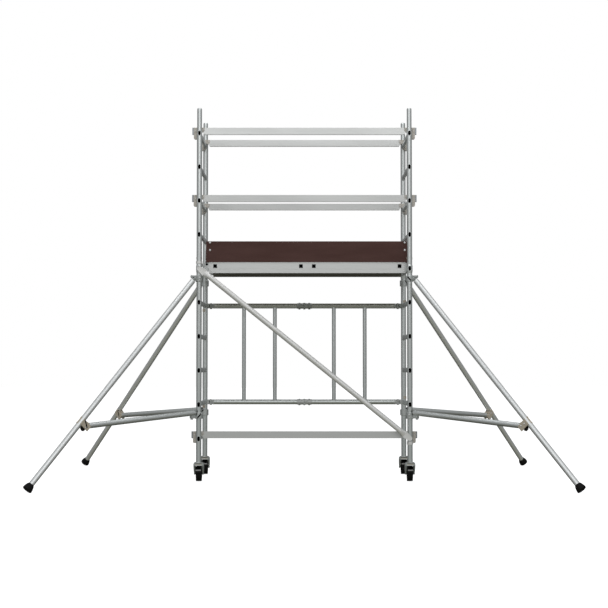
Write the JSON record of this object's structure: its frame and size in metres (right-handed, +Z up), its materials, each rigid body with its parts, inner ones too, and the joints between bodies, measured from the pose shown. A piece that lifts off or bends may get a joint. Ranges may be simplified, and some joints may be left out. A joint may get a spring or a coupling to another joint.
{
  "type": "mobile tower scaffold",
  "caption": "Narrow aluminium scaffold tower on braked castors, with ladder end frames, a boarded platform, guardrails, a folding gate and outrigger stabilisers.",
  "frame": {"origin": "on the ground, midway between the four standards", "axes": "+X to the right along the platform, +Y from the diagonal brace side to the folding gate side, +Z up"},
  "size_m": [4.21, 2.9422, 3.078],
  "materials": {
    "aluminium_tube": "mill finish, drawn tube",
    "aluminium_rail": "mill finish, extruded",
    "grey_casting": "sand-cast grey",
    "tan_casting": "passivated, warm grey",
    "zinc_steel": "zinc plated",
    "black_plastic": "matte black",
    "black_rubber": "matte black rubber",
    "brown_ply": "phenolic film, dark red-brown"
  },
  "bodies": {
    "root": {"base_frame_left": "aluminium_tube", "base_frame_right": "aluminium_tube", "top_frame_left": "aluminium_tube", "top_frame_right": "aluminium_tube", "frame_clips": "tan_casting", "end_plugs": "black_plastic", "guardrails_front": "aluminium_rail", "guardrails_rear": "aluminium_rail", "base_rail": "aluminium_rail", "rail_claws": "tan_casting", "claw_latches": "zinc_steel", "diagonal_brace": "aluminium_tube", "gate_left_leaf": "aluminium_tube", "gate_right_leaf": "aluminium_tube", "gate_hinges": "grey_casting", "gate_hinge_pins": "zinc_steel", "platform_frame": "aluminium_rail", "platform_hooks": "grey_casting", "platform_deck": "brown_ply", "trapdoor_hinges": "zinc_steel", "toe_boards": "brown_ply", "toe_board_rivets": "zinc_steel", "castor_stems": "zinc_steel"},
    "trapdoor": {"trapdoor": "brown_ply"},
    "castor_fl_swivel": {"castor_fl_fork": "zinc_steel"},
    "castor_fl_roller": {"castor_fl_wheel": "black_plastic", "castor_fl_tyre": "black_rubber"},
    "castor_fl_pedal": {"castor_fl_brake": "black_plastic"},
    "stab_fl": {"stab_fl_leg": "aluminium_tube", "stab_fl_foot": "black_rubber", "stab_fl_arm": "aluminium_tube", "stab_fl_clamps": "tan_casting"},
    "stab_fl_knob": {"stab_fl_knob": "black_plastic"},
    "castor_fr_swivel": {"castor_fr_fork": "zinc_steel"},
    "castor_fr_roller": {"castor_fr_wheel": "black_plastic", "castor_fr_tyre": "black_rubber"},
    "castor_fr_pedal": {"castor_fr_brake": "black_plastic"},
    "stab_fr": {"stab_fr_leg": "aluminium_tube", "stab_fr_foot": "black_rubber", "stab_fr_arm": "aluminium_tube", "stab_fr_clamps": "tan_casting"},
    "stab_fr_knob": {"stab_fr_knob": "black_plastic"},
    "castor_rl_swivel": {"castor_rl_fork": "zinc_steel"},
    "castor_rl_roller": {"castor_rl_wheel": "black_plastic", "castor_rl_tyre": "black_rubber"},
    "castor_rl_pedal": {"castor_rl_brake": "black_plastic"},
    "stab_rl": {"stab_rl_leg": "aluminium_tube", "stab_rl_foot": "black_rubber", "stab_rl_arm": "aluminium_tube", "stab_rl_clamps": "tan_casting"},
    "stab_rl_knob": {"stab_rl_knob": "black_plastic"},
    "castor_rr_swivel": {"castor_rr_fork": "zinc_steel"},
    "castor_rr_roller": {"castor_rr_wheel": "black_plastic", "castor_rr_tyre": "black_rubber"},
    "castor_rr_pedal": {"castor_rr_brake": "black_plastic"},
    "stab_rr": {"stab_rr_leg": "aluminium_tube", "stab_rr_foot": "black_rubber", "stab_rr_arm": "aluminium_tube", "stab_rr_clamps": "tan_casting"},
    "stab_rr_knob": {"stab_rr_knob": "black_plastic"}
  },
  "joints": [
    {"name": "trapdoor_hinge", "type": "hinge", "parent": "root", "child": "trapdoor", "pos_m": [0.45, 0.232, 1.812], "axis": [-1, 0, 0], "range_deg": [0, 90]},
    {"name": "castor_fl_swivel", "type": "hinge", "parent": "root", "child": "castor_fl_swivel", "pos_m": [-0.8675, -0.375, 0.15], "axis": [0, 0, 1], "continuous": true},
    {"name": "castor_fl_roll", "type": "hinge", "parent": "castor_fl_swivel", "child": "castor_fl_roller", "pos_m": [-0.8675, -0.34, 0.0625], "axis": [1, 0, 0], "continuous": true},
    {"name": "castor_fl_brake", "type": "hinge", "parent": "castor_fl_swivel", "child": "castor_fl_pedal", "pos_m": [-0.8675, -0.399, 0.138], "axis": [1, 0, 0], "range_deg": [0, 12]},
    {"name": "stab_fl_swing", "type": "hinge", "parent": "root", "child": "stab_fl", "pos_m": [-0.8675, -0.375, 0.539], "axis": [0, 0, 1], "range_deg": [-40, 40]},
    {"name": "stab_fl_knob_turn", "type": "hinge", "parent": "stab_fl", "child": "stab_fl_knob", "pos_m": [-1.68587, -1.09649, 0.48407], "axis": [-0.6496, -0.5727, -0.5], "range_deg": [0, 360]},
    {"name": "castor_fr_swivel", "type": "hinge", "parent": "root", "child": "castor_fr_swivel", "pos_m": [0.8675, -0.375, 0.15], "axis": [0, 0, 1], "continuous": true},
    {"name": "castor_fr_roll", "type": "hinge", "parent": "castor_fr_swivel", "child": "castor_fr_roller", "pos_m": [0.8675, -0.34, 0.0625], "axis": [1, 0, 0], "continuous": true},
    {"name": "castor_fr_brake", "type": "hinge", "parent": "castor_fr_swivel", "child": "castor_fr_pedal", "pos_m": [0.8675, -0.399, 0.138], "axis": [1, 0, 0], "range_deg": [0, 12]},
    {"name": "stab_fr_swing", "type": "hinge", "parent": "root", "child": "stab_fr", "pos_m": [0.8675, -0.375, 0.539], "axis": [0, 0, 1], "range_deg": [-40, 40]},
    {"name": "stab_fr_knob_turn", "type": "hinge", "parent": "stab_fr", "child": "stab_fr_knob", "pos_m": [1.68587, -1.09649, 0.48407], "axis": [0.6496, -0.5727, -0.5], "range_deg": [0, 360]},
    {"name": "castor_rl_swivel", "type": "hinge", "parent": "root", "child": "castor_rl_swivel", "pos_m": [-0.8675, 0.375, 0.15], "axis": [0, 0, 1], "continuous": true},
    {"name": "castor_rl_roll", "type": "hinge", "parent": "castor_rl_swivel", "child": "castor_rl_roller", "pos_m": [-0.8675, 0.41, 0.0625], "axis": [1, 0, 0], "continuous": true},
    {"name": "castor_rl_brake", "type": "hinge", "parent": "castor_rl_swivel", "child": "castor_rl_pedal", "pos_m": [-0.8675, 0.351, 0.138], "axis": [1, 0, 0], "range_deg": [0, 12]},
    {"name": "stab_rl_swing", "type": "hinge", "parent": "root", "child": "stab_rl", "pos_m": [-0.8675, 0.375, 0.539], "axis": [0, 0, 1], "range_deg": [-40, 40]},
    {"name": "stab_rl_knob_turn", "type": "hinge", "parent": "stab_rl", "child": "stab_rl_knob", "pos_m": [-1.68587, 1.09649, 0.48407], "axis": [-0.6496, 0.5727, -0.5], "range_deg": [0, 360]},
    {"name": "castor_rr_swivel", "type": "hinge", "parent": "root", "child": "castor_rr_swivel", "pos_m": [0.8675, 0.375, 0.15], "axis": [0, 0, 1], "continuous": true},
    {"name": "castor_rr_roll", "type": "hinge", "parent": "castor_rr_swivel", "child": "castor_rr_roller", "pos_m": [0.8675, 0.41, 0.0625], "axis": [1, 0, 0], "continuous": true},
    {"name": "castor_rr_brake", "type": "hinge", "parent": "castor_rr_swivel", "child": "castor_rr_pedal", "pos_m": [0.8675, 0.351, 0.138], "axis": [1, 0, 0], "range_deg": [0, 12]},
    {"name": "stab_rr_swing", "type": "hinge", "parent": "root", "child": "stab_rr", "pos_m": [0.8675, 0.375, 0.539], "axis": [0, 0, 1], "range_deg": [-40, 40]},
    {"name": "stab_rr_knob_turn", "type": "hinge", "parent": "stab_rr", "child": "stab_rr_knob", "pos_m": [1.68587, 1.09649, 0.48407], "axis": [0.6496, 0.5727, -0.5], "range_deg": [0, 360]}
  ]
}
